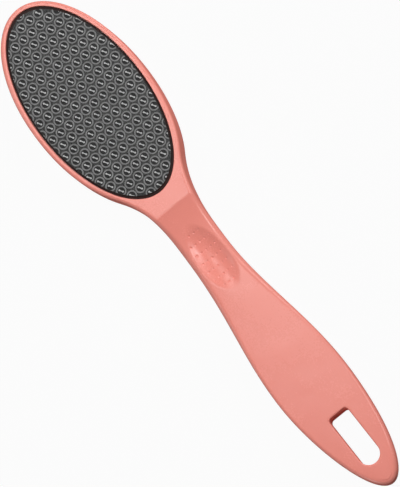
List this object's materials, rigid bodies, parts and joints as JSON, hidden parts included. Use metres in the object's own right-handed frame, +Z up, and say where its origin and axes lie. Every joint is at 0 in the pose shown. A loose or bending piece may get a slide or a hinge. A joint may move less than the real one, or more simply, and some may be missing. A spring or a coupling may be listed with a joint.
{
  "type": "foot file",
  "caption": "Double-sided paddle foot file: an oval head with an etched file plate in a recess on each face, a thumb rest at the neck and a hanging slot.",
  "frame": {"origin": "middle of the bounding box in plan, on the plane that the fine side rests on", "axes": "+X from the head to the hanging end, +Z up through the coarse face, +Y across"},
  "size_m": [0.2664, 0.056, 0.0139],
  "materials": {
    "shell": "salmon pink moulded plastic with a fine satin texture",
    "backing_board": "near-black stiff moulded board",
    "adhesive": "thin pale double-sided adhesive pad",
    "coarse_steel": "dark etched sheet with bare raised teeth",
    "fine_steel": "dark etched sheet with bare fine teeth"
  },
  "bodies": {
    "root": {"front_shell": "shell", "rear_shell": "shell", "coarse_backing": "backing_board", "coarse_adhesive": "adhesive", "coarse_plate": "coarse_steel", "fine_backing": "backing_board", "fine_adhesive": "adhesive", "fine_plate": "fine_steel"}
  },
  "joints": []
}
